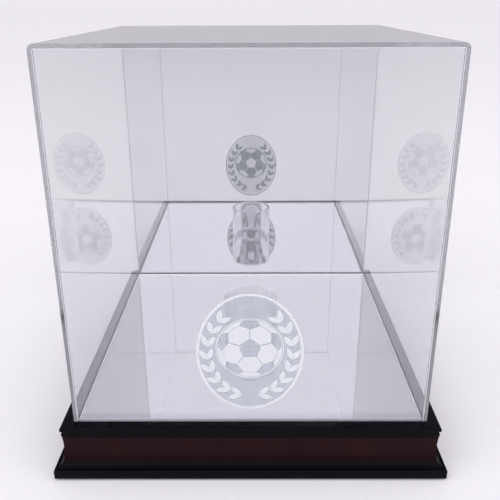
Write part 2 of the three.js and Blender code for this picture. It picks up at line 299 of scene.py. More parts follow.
def mahogany(shown_from, shown_to):
    """Mahogany-stained moulding under clear gloss lacquer: deep red-brown, near black at edges.

    The eye sees fine dark pores along the grain, a soft ripple across it, and a hard clear
    shine on top. The strip that shows runs from shown_from to shown_to along the profile: it
    deepens to wine red towards the lower edge, and fades to black at the upper one as painted
    shade under the top board's bead.
    """
    material, tree = new_material("lacquered_mahogany_stain")
    along = node(tree, "UVMap", uv_map="along").outputs["UV"]
    grain_at = node(tree, "Mapping", {
        "Vector": along,
        "Scale": (1 / GRAIN_LENGTH, 1 / GRAIN_WIDTH, 1),
    })
    grain = node(tree, "TexNoise", {
        "Vector": grain_at.outputs["Vector"],
        "Scale": 1.0,
        "Detail": 6.0,
        "Roughness": 0.65,
        "Distortion": 0.35,
    })
    figure_at = node(tree, "Mapping", {
        "Vector": along,
        "Scale": (1 / FIGURE, 1 / (3 * FIGURE), 1),
    })
    figure = node(tree, "TexNoise", {
        "Vector": figure_at.outputs["Vector"],
        "Scale": 1.0,
        "Detail": 2.0,
    })
    pores = node(tree, "MapRange", {
        "Value": grain.outputs["Fac"],
        "From Min": 0.36,
        "From Max": 0.62,
    })
    wood = node(tree, "Mix", {
        "Factor": pores.outputs["Result"],
        "A": linear(MAHOGANY_DARK),
        "B": linear(MAHOGANY_MID),
    }, data_type="RGBA")
    ripple = node(tree, "MapRange", {
        "Value": figure.outputs["Fac"],
        "From Min": 0.35,
        "From Max": 0.75,
        "To Max": 0.6,
    })
    rippled = node(tree, "Mix", {
        "Factor": ripple.outputs["Result"],
        "A": wood.outputs["Result"],
        "B": linear(MAHOGANY_RED),
    }, data_type="RGBA")
    across = node(tree, "SeparateXYZ", {"Vector": along}).outputs["Y"]
    # The strip turns wine red towards its lower edge.
    lower = node(tree, "MapRange", {
        "Value": across,
        "From Min": shown_from,
        "From Max": shown_from + EDGE_FADE,
    }, interpolation_type="SMOOTHSTEP")
    wine = node(tree, "Mix", {
        "Factor": lower.outputs["Result"],
        "A": linear(MAHOGANY_WINE),
        "B": rippled.outputs["Result"],
    }, data_type="RGBA")
    # Painted shade: the top of the strip, in the shade under the top board's bead, fades to black.
    upper = node(tree, "MapRange", {
        "Value": across,
        "From Min": shown_to,
        "From Max": shown_to - 0.3 * EDGE_FADE,
    }, interpolation_type="SMOOTHSTEP")
    # The mix below lays that painted shade over the wood's colour.
    stained = node(tree, "Mix", {
        "Factor": upper.outputs["Result"],
        "A": linear(LACQUER_AND_SHADE_BLACK),
        "B": wine.outputs["Result"],
    }, data_type="RGBA")
    bump = node(tree, "Bump", {
        "Height": pores.outputs["Result"],
        "Strength": 0.15,
        "Distance": 0.03 * MM,
    })
    skin = node(tree, "BsdfPrincipled", {
        "Base Color": stained.outputs["Result"],
        "Roughness": 0.45,
        "IOR": 1.5,
        "Specular IOR Level": 0.05,
        "Coat Weight": 0.06,
        "Coat Roughness": 0.15,
        "Coat IOR": 1.5,
        "Normal": bump.outputs["Normal"],
    })
    node(tree, "OutputMaterial", {"Surface": skin.outputs["BSDF"]})
    return material


cove_low, cove_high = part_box("cove_rail_front")
COVE_SAG = 1.1 * MM
cove_face = bezier(
    (COVE, cove_low.z), (COVE - COVE_SAG, (cove_low.z + cove_high.z) / 2), (COVE, cove_high.z), 20
)
cove_profile = np.vstack([
    [(RAIL_INNER, cove_low.z)],
    cove_face,
    [(RAIL_INNER, cove_high.z)],
])
FOOT_TO_FACE = COVE - RAIL_INNER
MAHOGANY = mahogany(FOOT_TO_FACE, FOOT_TO_FACE + cove_high.z - cove_low.z)

plinth_low, plinth_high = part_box("plinth_rail_front")
PLINTH = -plinth_low.y - HALF
FLARE = 13 * MM
FLARE_FOOT = plinth_high.z - 6.4 * MM
LEDGE = FLARE_FOOT - 0.7 * MM
REBATE, REBATE_TOP = -1 * MM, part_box("bottom_board")[1].z + 0.1 * MM
plinth_profile = np.vstack([
    [(RAIL_INNER, REBATE_TOP), (REBATE, REBATE_TOP), (REBATE, plinth_low.z)],
    bezier((PLINTH - 0.6 * MM, plinth_low.z), (PLINTH, plinth_low.z),
           (PLINTH, plinth_low.z + 0.6 * MM), 4),
    bezier((PLINTH, LEDGE - 1 * MM), (PLINTH, LEDGE), (PLINTH - 1 * MM, LEDGE), 8),
    bezier((FLARE + 0.2 * MM, LEDGE), (FLARE, LEDGE), (FLARE, LEDGE + 0.2 * MM), 3),
    bezier((FLARE, FLARE_FOOT - 0.15 * MM), (FLARE, FLARE_FOOT),
           (FLARE - 0.2 * MM, FLARE_FOOT + 0.04 * MM), 3),
    bezier((FLARE - 0.2 * MM, FLARE_FOOT + 0.04 * MM), (COVE + 0.5 * MM, FLARE_FOOT + 0.9 * MM),
           (COVE, plinth_high.z))[1:],
    [(RAIL_INNER, plinth_high.z)],
])
BLUSHED = black_lacquer("black_lacquer_fading_up_to_wine_red",
                        (MAHOGANY_WINE, FLARE_FOOT + 0.8 * MM, plinth_high.z))
for quarter_turns, side in enumerate(SIDES):
    place(f"cove_moulding_{side}", moulding("cove_moulding", cove_profile, quarter_turns),
          MAHOGANY, "base", [f"cove_rail_{side}"], 0.2 * MM)
    place(f"plinth_moulding_{side}", moulding("plinth_moulding", plinth_profile, quarter_turns),
          BLUSHED, "base", [f"plinth_rail_{side}"], 0.2 * MM)

# ---- Corner blocks and bottom board --------------------------------------------------------
# Triangular blocks sawn from pine strip, glued into the corners of the mouldings, and a sheet
# of hardboard that closes the hollow base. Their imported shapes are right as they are.

PINE_PALE = "#d2b183"
PINE_LATE = "#a87a45"
PINE_RING = 3.5 * MM
PINE_FUZZ = 0.4 * MM
HARDBOARD_BROWN = "#4d3626"
HARDBOARD_DARK = "#35241a"
FIBRE = 0.9 * MM
CLOUD = 30 * MM
CORNERS = ("back_left", "back_right", "front_left", "front_right")


def refinish(name, material):
    """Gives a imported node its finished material."""
    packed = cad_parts[name]
    packed.data.materials.clear()
    packed.data.materials.append(material)


def pine():
    """Sawn pine: pale yellow wood with darker late-wood rings that run down the block.

    The eye sees stripes a few millimetres apart, broken by the saw's fine fuzz.
    """
    material, tree = new_material("sawn_pine")
    where = node(tree, "TexCoord").outputs["Object"]
    ring_at = node(tree, "Mapping", {"Vector": where, "Scale": (1, 1, 0.05)})
    rings = node(tree, "TexWave", {
        "Vector": ring_at.outputs["Vector"],
        "Scale": 1 / (PINE_RING * 6.3),
        "Distortion": 3.0,
        "Detail": 3.0,
        "Detail Scale": 1.5,
    }, bands_direction="DIAGONAL", wave_profile="SAW")
    fuzz = node(tree, "TexNoise", {"Vector": where, "Scale": 1 / PINE_FUZZ, "Detail": 3.0})
    colour = node(tree, "Mix", {
        "Factor": rings.outputs["Fac"],
        "A": linear(PINE_PALE),
        "B": linear(PINE_LATE),
    }, data_type="RGBA")
    bump = node(tree, "Bump", {
        "Height": fuzz.outputs["Fac"],
        "Strength": 0.4,
        "Distance": 0.08 * MM,
    })
    skin = node(tree, "BsdfPrincipled", {
        "Base Color": colour.outputs["Result"],
        "Roughness": 0.75,
        "Normal": bump.outputs["Normal"],
    })
    node(tree, "OutputMaterial", {"Surface": skin.outputs["BSDF"]})
    return material


def hardboard():
    """Pressed hardboard, smooth side out: dark brown, mottled with flattened wood fibres.

    The eye sees a fine speckle with a dull sheen.
    """
    material, tree = new_material("pressed_hardboard")
    where = node(tree, "TexCoord").outputs["Object"]
    fibres = node(tree, "TexNoise", {
        "Vector": where,
        "Scale": 1 / FIBRE,
        "Detail": 5.0,
        "Roughness": 0.7,
        "Distortion": 1.2,
    })
    clouds = node(tree, "TexNoise", {"Vector": where, "Scale": 1 / CLOUD, "Detail": 3.0})
    both = node(tree, "Math", {
        0: fibres.outputs["Fac"],
        1: clouds.outputs["Fac"],
    }, operation="ADD")
    spread = node(tree, "MapRange", {
        "Value": both.outputs["Value"],
        "From Min": 0.75,
        "From Max": 1.25,
    })
    colour = node(tree, "Mix", {
        "Factor": spread.outputs["Result"],
        "A": linear(HARDBOARD_DARK),
        "B": linear(HARDBOARD_BROWN),
    }, data_type="RGBA")
    bump = node(tree, "Bump", {
        "Height": fibres.outputs["Fac"],
        "Strength": 0.3,
        "Distance": 0.05 * MM,
    })
    skin = node(tree, "BsdfPrincipled", {
        "Base Color": colour.outputs["Result"],
        "Roughness": 0.55,
        "Normal": bump.outputs["Normal"],
    })
    node(tree, "OutputMaterial", {"Surface": skin.outputs["BSDF"]})
    return material


PINE = pine()
for corner in CORNERS:
    refinish(f"corner_block_{corner}", PINE)
refinish("bottom_board", hardboard())

# ---- Screws --------------------------------------------------------------------------------
# Cross-head wood screws of zinc-plated steel, with rolled threads. Four countersunk ones go up
# through the corner blocks into the top board, and four pan heads hold the bottom board.

SCREW_RADIUS = 1.6 * MM
THREAD_PITCH = 1.2 * MM
THREAD_DEPTH = 0.45 * MM
FLAT_HEAD, FLAT_HEAD_HEIGHT = 3.2 * MM, 1.8 * MM
PAN_HEAD, PAN_HEAD_HEIGHT = 3 * MM, 1.2 * MM
PLAIN_SHANK = 1.5 * MM
SLOT_HALF, SLOT_REACH = 0.38 * MM, 1.6 * MM
ZINC = "#b4b8be"
ZINC_SHADOW = "#8e9298"
ZINC_BLOTCH = 1.5 * MM
SCREW_COLUMNS = 64


def cross_outline(angle, half_slot, reach):
    """The radius of a cross at each angle: the nearer of an arm's end and an arm's side."""
    off_arm = np.abs((angle + np.pi / 4) % (np.pi / 2) - np.pi / 4)
    side = half_slot / np.maximum(np.sin(off_arm), 1e-6)
    return np.minimum(reach, side)


def threaded_screw(name, head, under_head, tip, place_at):
    """A screw as a grid of rings, from the bottom of its recess out over its head to its tip.

    A ring's radius blends from the cross's outline to a circle over the head. Along the thread
    it is the core's plus a crest that falls off evenly on both sides of the helix, and the
    helix climbs one pitch a turn. head lists the head's outline as (radius, height).
    """
    angle = np.linspace(0, 2 * np.pi, SCREW_COLUMNS, endpoint=False)
    face = head[0, 1]
    floor = face + 0.75 * MM
    star = cross_outline(angle, SLOT_HALF, SLOT_REACH)
    circle = np.full(SCREW_COLUMNS, head[0, 0])
    rings = [(0 * star, floor + 0.25 * MM), (0.72 * star, floor), (star, face + 0.05 * MM),
             (1.06 * star, face), ((star + circle) / 2, face), (circle, face)]
    rings += [(np.full(SCREW_COLUMNS, r), z) for r, z in head[1:]]
    rings += [(np.full(SCREW_COLUMNS, SCREW_RADIUS), under_head + PLAIN_SHANK)]
    radius = np.array([r for r, _ in rings])
    height = np.repeat([z for _, z in rings], SCREW_COLUMNS).reshape(radius.shape)
    start, taper = under_head + PLAIN_SHANK, tip - 3 * SCREW_RADIUS
    level = np.arange(start, tip, THREAD_PITCH / 8)[1:, None]
    phase = ((level - start) / THREAD_PITCH - angle / (2 * np.pi)) % 1
    crest = np.clip(1 - 3 * np.abs(phase - 0.5), 0, 1)
    cone = np.clip((tip - level) / (tip - taper), 0, 1)
    thread = cone * (SCREW_RADIUS - THREAD_DEPTH) + THREAD_DEPTH * crest * np.sqrt(cone)
    radius = np.vstack([radius, thread, 0 * star])
    height = np.vstack([height, np.broadcast_to(level, thread.shape), 0 * star + tip])
    x = place_at[0] + radius * np.cos(angle)
    y = place_at[1] + radius * np.sin(angle)
    return grid_mesh(name, np.stack([x, y, height], -1), capped=False)


def zinc_plate():
    """Bright zinc plate on steel: cool grey metal, a little cloudy, with a soft shine.

    The eye sees slight blotches where the passivated layer is thicker.
    """
    material, tree = new_material("bright_zinc_plate")
    where = node(tree, "TexCoord").outputs["Object"]
    blotches = node(tree, "TexNoise", {"Vector": where, "Scale": 1 / ZINC_BLOTCH, "Detail": 3.0})
    colour = node(tree, "Mix", {
        "Factor": blotches.outputs["Fac"],
        "A": linear(ZINC_SHADOW),
        "B": linear(ZINC),
    }, data_type="RGBA")
    dull = node(tree, "MapRange", {
        "Value": blotches.outputs["Fac"],
        "From Min": 0.3,
        "From Max": 0.7,
        "To Min": 0.24,
        "To Max": 0.42,
    })
    skin = node(tree, "BsdfPrincipled", {
        "Base Color": colour.outputs["Result"],
        "Metallic": 1.0,
        "Roughness": dull.outputs["Result"],
    })
    node(tree, "OutputMaterial", {"Surface": skin.outputs["BSDF"]})
    return material


ZINC_PLATE = zinc_plate()
for corner in CORNERS:
    for kind, head_height in (("top", FLAT_HEAD_HEIGHT), ("board", PAN_HEAD_HEIGHT)):
        low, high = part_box(f"{kind}_screw_{corner}")
        middle = (low + high) / 2
        under = low.z + head_height
        if kind == "top":
            outline = np.array([(FLAT_HEAD - 0.1 * MM, low.z), (FLAT_HEAD, low.z + 0.1 * MM),
                                (SCREW_RADIUS, under)])
        else:
            outline = np.vstack([
                bezier((PAN_HEAD - 1 * MM, low.z), (PAN_HEAD, low.z), (PAN_HEAD, under), 8),
                [(SCREW_RADIUS, under)],
            ])
        screw_mesh = threaded_screw("wood_screw", outline, under, high.z, middle)
        place(f"wood_screw_{kind}_{corner}", screw_mesh, ZINC_PLATE, "base",
              [f"{kind}_screw_{corner}"])

# ---- Felt pads -----------------------------------------------------------------------------
# Discs punched from black needled felt, stuck under the bottom board's corners. Their rims are
# a little ragged, and their faces are flattened by the weight of the case.

FELT_BLACK = "#17171a"
FELT_LINT = "#303036"
FELT_FIBRE = 0.35 * MM  # drawn coarser than real fibres of 0.03 mm, which wouldn't show


def felt_disc(name, low, high):
    """A punched disc: a superellipse section turned round the pad's middle, with a ragged rim.

    The section's half thickness is (1 - r^8)^(1/8) of the whole, and the rim moves in and out
    by a sum of three waves round the disc.
    """
    turn = np.linspace(0, 2 * np.pi, 96, endpoint=False)
    slope = np.linspace(-np.pi / 2, np.pi / 2, 25)[:, None]
    section = np.sign(slope) * np.abs(np.sin(slope)) ** 0.25
    radial = np.abs(np.cos(slope)) ** 0.25
    rag = 1 - 0.012 * (1 + np.sin(17 * turn) * np.sin(5 * turn + 1) + 0.6 * np.sin(41 * turn))
    middle, size = (low + high) / 2, (high - low) / 2
    x = middle.x + size.x * radial * np.where(radial > 0.9, rag, 0.98) * np.cos(turn)
    y = middle.y + size.y * radial * np.where(radial > 0.9, rag, 0.98) * np.sin(turn)
    z = np.broadcast_to(middle.z + size.z * section, x.shape)
    return grid_mesh(name, np.stack([x, y, z], -1), capped=False)


def needled_felt():
    """Black needled felt: matt and very dark, with a tangle of paler fibres that catch light.

    The eye sees a soft bloom towards the edges and no highlight at all.
    """
    material, tree = new_material("needled_felt")
    where = node(tree, "TexCoord").outputs["Object"]
    tangle = node(tree, "TexNoise", {
        "Vector": where,
        "Scale": 1 / FELT_FIBRE,
        "Detail": 4.0,
        "Roughness": 0.75,
        "Distortion": 2.0,
    })
    lint = node(tree, "MapRange", {
        "Value": tangle.outputs["Fac"],
        "From Min": 0.45,
        "From Max": 0.75,
    })
    colour = node(tree, "Mix", {
        "Factor": lint.outputs["Result"],
        "A": linear(FELT_BLACK),
        "B": linear(FELT_LINT),
    }, data_type="RGBA")
    bump = node(tree, "Bump", {
        "Height": tangle.outputs["Fac"],
        "Strength": 0.8,
        "Distance": 0.15 * MM,
    })
    skin = node(tree, "BsdfPrincipled", {
        "Base Color": colour.outputs["Result"],
        "Roughness": 0.95,
        "Specular IOR Level": 0.1,
        "Sheen Weight": 0.35,
        "Sheen Roughness": 0.5,
        "Normal": bump.outputs["Normal"],
    })
    node(tree, "OutputMaterial", {"Surface": skin.outputs["BSDF"]})
    return material


FELT = needled_felt()
for corner in CORNERS:
    disc = felt_disc("felt_disc", *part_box(f"foot_pad_{corner}"))
    pad = place(f"felt_disc_{corner}", disc, FELT, "base", [f"foot_pad_{corner}"])

# ---- Floor mirror --------------------------------------------------------------------------
# A square of mirrored acrylic sheet, cut with a circular saw and stuck into the top board's
# recess: clear acrylic whose underside is silvered. It stops short of the recess's sides, which
# leaves the groove for the cover's foot.

ACRYLIC_TINT = "#f6f6f7"
ACRYLIC_DEPTH = "#464664"  # what a long way through the sheet leaves of white light
ACRYLIC_DENSITY = 2.3
MIRROR_SILVER = "#f7f7f8"
MIRROR_WAVE = 70 * MM  # acrylic mirror isn't quite flat, and reflections swim a little in it
SILVERING = 0.2 * MM  # drawn thicker than the real coat, with its paint
COAT_GAP = 0.02 * MM
WIPE = 50 * MM
BUFFED = 0.2
SAW_FROST = 0.6 * MM  # drawn wider than the real bloom, which is only as deep as the scratches
SAW_WHITE = "#f6f7f9"
SAW_WHITE_DULL = "#e4e5ea"
SAW_TEETH = 1.2 * MM
SHEET_CORNER = 0.5 * MM


def slab(name, reach, low, high, corner):
    """A flat square sheet between two heights: a loop at each, with round corners."""
    return grid_mesh(name, square_loops([(reach, low), (reach, high)], corner))


def clear_acrylic(name, edges=()):
    """Clear acrylic (IOR 1.49), polished: it shows as reflections, bent lines and bright edges.

    A long way inside the sheet turns light a bluish grey, which is what its edges show. Lamps
    reach what is behind it, tinted by one pass, because a lamp's narrow light through two flat
    faces goes nearly straight on. Sawn edges are only buffed, which blurs what they show: edges
    lists them as an axis and how far out along it they start.
    """
    material, tree = new_material(name)
    tint = linear(ACRYLIC_TINT)
    rough = 0.0
    for axis, start in edges:
        where = node(tree, "TexCoord").outputs["Object"]
        part = node(tree, "SeparateXYZ", {"Vector": where}).outputs[axis]
        out = node(tree, "Math", {0: part}, operation="ABSOLUTE").outputs["Value"]
        edge = node(tree, "Math", {0: out, 1: start}, operation="GREATER_THAN")
        rough = node(tree, "Math", {
            0: edge.outputs["Value"],
            1: BUFFED,
            2: rough,
        }, operation="MULTIPLY_ADD").outputs["Value"]
    solid = node(tree, "BsdfPrincipled", {
        "Base Color": tint,
        "Roughness": rough,
        "IOR": 1.49,
        "Transmission Weight": 1.0,
    })
    lamp_pass = node(tree, "BsdfTransparent", {"Color": tint})
    path = node(tree, "LightPath")
    both = node(tree, "MixShader", {
        0: path.outputs["Is Shadow Ray"],
        1: solid.outputs["BSDF"],
        2: lamp_pass.outputs["BSDF"],
    })
    depth = node(tree, "VolumeAbsorption", {
        "Color": linear(ACRYLIC_DEPTH),
        "Density": ACRYLIC_DENSITY,
    })
    node(tree, "OutputMaterial", {
        "Surface": both.outputs["Shader"],
        "Volume": depth.outputs["Volume"],
    })
    return material


def silvering(name):
    """Vacuum-deposited aluminium behind clear acrylic: a metal that barely tints reflections.

    The eye sees a reflection that swims slightly, and the faint haze of wiping.
    """
    material, tree = new_material(name)
    where = node(tree, "TexCoord").outputs["Object"]
    swim = node(tree, "TexNoise", {"Vector": where, "Scale": 1 / MIRROR_WAVE, "Detail": 0.0})
    bump = node(tree, "Bump", {
        "Height": swim.outputs["Fac"],
        "Strength": 0.3,
        "Distance": 0.12 * MM,
    })
    wiped_at = node(tree, "Mapping", {"Vector": where, "Scale": (1, 3, 1.4)})
    wiped = node(tree, "TexNoise", {
        "Vector": wiped_at.outputs["Vector"],
        "Scale": 1 / WIPE,
        "Detail": 5.0,
    })
    haze = node(tree, "MapRange", {
        "Value": wiped.outputs["Fac"],
        "From Min": 0.4,
        "From Max": 0.8,
        "To Min": 0.01,
        "To Max": 0.05,
    })
    silver = node(tree, "BsdfPrincipled", {
        "Base Color": linear(MIRROR_SILVER),
        "Metallic": 1.0,
        "Roughness": haze.outputs["Result"],
        "Normal": bump.outputs["Normal"],
    })
    node(tree, "OutputMaterial", {"Surface": silver.outputs["BSDF"]})
    return material


def saw_frost():
    """The white bloom that a circular saw leaves on acrylic: fine scratches that scatter light.

    The eye sees a pale line round the sheet, streaked across by the teeth.
    """
    material, tree = new_material("saw_frosted_acrylic_edge")
    where = node(tree, "TexCoord").outputs["Object"]
    teeth = node(tree, "TexNoise", {"Vector": where, "Scale": 1 / SAW_TEETH, "Detail": 3.0})
    colour = node(tree, "Mix", {
        "Factor": teeth.outputs["Fac"],
        "A": linear(SAW_WHITE_DULL),
        "B": linear(SAW_WHITE),
    }, data_type="RGBA")
    skin = node(tree, "BsdfPrincipled", {
        "Base Color": colour.outputs["Result"],
        "Roughness": 0.7,
        "Specular IOR Level": 0.3,
    })
    node(tree, "OutputMaterial", {"Surface": skin.outputs["BSDF"]})
    return material


CLEAR_SHEET = clear_acrylic("polished_clear_acrylic_sheet")
SILVER = silvering("silvered_acrylic_face")
mirror_low, mirror_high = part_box("floor_mirror")
silver_top = mirror_low.z + SILVERING
face_low = silver_top + COAT_GAP
frost_inner = mirror_high.x - SAW_FROST
place("floor_mirror_silvering",
      slab("floor_silvering", mirror_high.x, mirror_low.z, silver_top, SHEET_CORNER),
      SILVER, "base", ["floor_mirror"])
place("floor_mirror_clear_face",
      slab("floor_clear_face", frost_inner - COAT_GAP, face_low, mirror_high.z, SHEET_CORNER),
      CLEAR_SHEET, "base", ["floor_mirror"], 0.1 * MM)
frost_section = [(frost_inner, face_low), (mirror_high.x, face_low),
                 (mirror_high.x, mirror_high.z), (frost_inner, mirror_high.z)]
frost = grid_mesh("saw_frost", square_loops(frost_section, SHEET_CORNER), ring=True)
place("floor_mirror_saw_frost", frost, saw_frost(), "base", ["floor_mirror"])

# ---- Ball stand ----------------------------------------------------------------------------
# A length cut from clear cast acrylic tube, its ends turned flat and flame-polished. It stands
# loose on the mirror, and the ball dips into its bore.

TUBE_WALL = 3.2 * MM
TUBE_COLUMNS = 160
POLISHED_ROUND = 0.6 * MM  # flame polishing rounds the rims


def rounded_section(low, high, radius, steps=4):
    """The closed outline of a rectangle from low to high with quarter circles for corners."""
    angle = np.linspace(0, np.pi / 2, steps + 1)
    quarter = np.arange(4)[:, None] * np.pi / 2
    sign = np.stack([np.cos(quarter + np.pi / 4), np.sin(quarter + np.pi / 4)], -1)
    middle, half = (np.add(low, high)) / 2, np.subtract(high, low) / 2
    arc = radius * np.stack([np.cos(quarter + angle), np.sin(quarter + angle)], -1)
    return (middle + np.sign(sign) * (half - radius) + arc).reshape(-1, 2)


def turned_tube(name, section):
    """A closed section of (radius, height) turned round the Z axis, as a ring of rings."""
    turn = np.linspace(0, 2 * np.pi, TUBE_COLUMNS, endpoint=False)
    radius, height = section[:, :1], section[:, 1:]
    x, y = radius * np.cos(turn), radius * np.sin(turn)
    z = np.broadcast_to(height, x.shape)
    return grid_mesh(name, np.stack([x, y, z], -1), ring=True)


stand_low, stand_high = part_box("ball_stand")
stand_section = rounded_section(
    (stand_high.x - TUBE_WALL, stand_low.z), (stand_high.x, stand_high.z), POLISHED_ROUND
)
CLEAR_TUBE = clear_acrylic("flame_polished_acrylic_tube")
place("ball_stand_tube", turned_tube("ball_stand", stand_section), CLEAR_TUBE, "stand",
      ["ball_stand"])

# ---- Cover ---------------------------------------------------------------------------------
# One clear sheet is bent over a hot wire into left side, top and right side. A clear front and
# a mirrored back are cemented in between its sides, and the sawn edges are buffed.

SHEET = 3 * MM
BEND = 4 * MM  # outside radius
BEND_STEPS = 20
BEAD_WIDTH = 0.5 * MM
CEMENT_WHITE = "#f2f1f6"
BACK_PAINT = "#5b5c61"
BACK_PAINT_DARK = "#4a4b50"
CEMENT_BUBBLE = 0.6 * MM
ROLLER_MOTTLE = 6 * MM
EDGE_BAND = 0.1 * MM  # how deep into the sheet an edge counts as buffed
wrap_low, wrap_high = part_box("cover_wrap")


def bent_sheet(name):
    """A rectangular section carried along the middle line of an upside-down U.

    The line goes up one side, round a quarter circle, over the top, round and down. At each
    point the section lies across the line: half the sheet's thickness in and out, along the
    line's normal, and from the front edge to the back edge.
    """
    side, ceiling, radius = HALF - SHEET / 2, wrap_high.z - SHEET / 2, BEND - SHEET / 2
    angle = np.linspace(0, np.pi / 2, BEND_STEPS + 1)
    out_x, out_z = -np.cos(angle), np.sin(angle)
    bend_x = -(side - radius) + radius * out_x
    bend_z = ceiling - radius + radius * out_z
    x = np.concatenate([[-side], bend_x, -bend_x[::-1], [side]])
    z = np.concatenate([[wrap_low.z], bend_z, bend_z[::-1], [wrap_low.z]])
    normal_x = np.concatenate([[-1], out_x, -out_x[::-1], [1]])
    normal_z = np.concatenate([[0], out_z, out_z[::-1], [0]])
    across = np.array([1, 1, -1, -1]) * SHEET / 2
    depth = np.array([wrap_low.y, wrap_high.y, wrap_high.y, wrap_low.y])
    grid_x = x[:, None] + normal_x[:, None] * across
    grid_z = z[:, None] + normal_z[:, None] * across
    grid_y = np.broadcast_to(depth, grid_x.shape)
    return grid_mesh(name, np.stack([grid_x, grid_y, grid_z], -1))


def end_panel(name, low, high):
    """A flat panel: an outline with round upper corners, once at its front and once behind."""
    radius = BEND - SHEET
    angle = np.linspace(0, np.pi / 2, 9)
    right = np.stack([high.x - radius + radius * np.cos(angle),
                      high.z - radius + radius * np.sin(angle)], -1)
    left = right[::-1] * (-1, 1)
    outline = np.vstack([[(-high.x, low.z), (high.x, low.z)], right, left])
    x, z = outline.T
    faces = [np.stack([x, np.full_like(x, y), z], -1) for y in (low.y, high.y)]
    return grid_mesh(name, np.array(faces))


def cement_bead(name, low, high, face):
    """A fine bead along a panel's sides and top, just inside the face that it is flush with.

    The panel's round-cornered outline is carried a hair outward, and an oval section of half
    width BEAD_WIDTH / 2 across it and half that into the sheet is set at each of its points.
    """
    radius = BEND - SHEET
    angle = np.linspace(0, np.pi / 2, 9)
    arm_x, arm_z = np.cos(angle), np.sin(angle)
    x = np.concatenate([[high.x], high.x - radius + radius * arm_x])
    z = np.concatenate([[low.z], high.z - radius + radius * arm_z])
    out_x, out_z = np.concatenate([[1], arm_x]), np.concatenate([[0], arm_z])
    x, z = np.concatenate([x, -x[::-1]]), np.concatenate([z, z[::-1]])
    out_x, out_z = np.concatenate([out_x, -out_x[::-1]]), np.concatenate([out_z, out_z[::-1]])
    turn = np.linspace(0, 2 * np.pi, 12, endpoint=False)
    across = 0.05 * MM + BEAD_WIDTH / 2 * np.cos(turn)
    inward = BEAD_WIDTH / 4 * (1 + np.sin(turn)) + 0.03 * MM
    grid_x = x[:, None] + out_x[:, None] * across
    grid_z = z[:, None] + out_z[:, None] * across
    grid_y = np.broadcast_to(face - np.sign(face) * inward, grid_x.shape)
    return grid_mesh(name, np.stack([grid_x, grid_y, grid_z], -1))


def cured_cement():
    """Cured solvent cement: the same acrylic gone slightly milky with tiny bubbles.

    The eye sees a fine pale line along each joint.
    """
    material, tree = new_material("cured_acrylic_cement")
    where = node(tree, "TexCoord").outputs["Object"]
    bubbles = node(tree, "TexNoise", {"Vector": where, "Scale": 1 / CEMENT_BUBBLE, "Detail": 2.0})
    haze = node(tree, "MapRange", {
        "Value": bubbles.outputs["Fac"],
        "From Min": 0.3,
        "From Max": 0.7,
        "To Min": 0.25,
        "To Max": 0.6,
    })
    skin = node(tree, "BsdfPrincipled", {
        "Base Color": linear(CEMENT_WHITE),
        "Roughness": haze.outputs["Result"],
        "IOR": 1.49,
        "Transmission Weight": 0.3,
    })
    node(tree, "OutputMaterial", {"Surface": skin.outputs["BSDF"]})
    return material


def backing_paint():
    """The flat grey paint that protects the silvering: dull, with a slight roller mottle."""
    material, tree = new_material("grey_backing_paint")
    where = node(tree, "TexCoord").outputs["Object"]
    mottle = node(tree, "TexNoise", {"Vector": where, "Scale": 1 / ROLLER_MOTTLE, "Detail": 5.0})
    colour = node(tree, "Mix", {
        "Factor": mottle.outputs["Fac"],
        "A": linear(BACK_PAINT_DARK),
        "B": linear(BACK_PAINT),
    }, data_type="RGBA")
    bump = node(tree, "Bump", {
        "Height": mottle.outputs["Fac"],
        "Strength": 0.3,
        "Distance": 0.08 * MM,
    })
    skin = node(tree, "BsdfPrincipled", {
        "Base Color": colour.outputs["Result"],
        "Roughness": 0.6,
        "Normal": bump.outputs["Normal"],
    })
    node(tree, "OutputMaterial", {"Surface": skin.outputs["BSDF"]})
    return material


def panel_layer(name, box, front, back):
    """The part of a panel that lies between two depths."""
    low, high = box[0].copy(), box[1].copy()
    low.y, high.y = front, back
    return end_panel(name, low, high)


BENT_SHEET = clear_acrylic("bent_acrylic_sheet", [("Y", wrap_high.y - EDGE_BAND)])
CEMENT = cured_cement()
place("cover_bent_sheet", bent_sheet("cover_wrap"), BENT_SHEET, "cover",
      ["cover_wrap"], 0.3 * MM)
front_low, front_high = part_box("cover_front")
FLAT_SHEET = clear_acrylic("cemented_acrylic_sheet",
                           [("X", front_high.x - EDGE_BAND), ("Z", front_high.z - EDGE_BAND)])
place("cover_front_sheet", end_panel("cover_front", front_low, front_high), FLAT_SHEET,
      "cover", ["cover_front"], 0.4 * MM)
for end, depth, panel in (
    ("front", front_low.y, "cover_front"),
    ("back", wrap_high.y, "cover_back_mirror"),
):
    bead = cement_bead("cement_bead", front_low, front_high, depth)
    place(f"cover_{end}_cement_bead", bead, CEMENT, "cover", [panel])
back_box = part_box("cover_back_mirror")
behind = back_box[1].y
for layer, front, back, material, slot, ease in (
    ("clear_face", back_box[0].y, behind - 2 * SILVERING, CLEAR_SHEET, "clear_acrylic", 0.2 * MM),
    ("silvering", behind - 2 * SILVERING + COAT_GAP, behind - SILVERING, SILVER,
     "mirror_acrylic", 0),
    ("backing_paint", behind - SILVERING + COAT_GAP, behind, backing_paint(),
     "mirror_acrylic", 0),
):
    place(f"cover_back_{layer}", panel_layer("cover_back", back_box, front, back), material,
          "cover", ["cover_back_mirror"], ease)

# ---- Badge ---------------------------------------------------------------------------------
# A plain football badge printed on the front sheet in two passes of frosted white ink: a thin
# tint over the whole oval, and solid white for its rim, the laurel, and the ball's outline and
# panels.

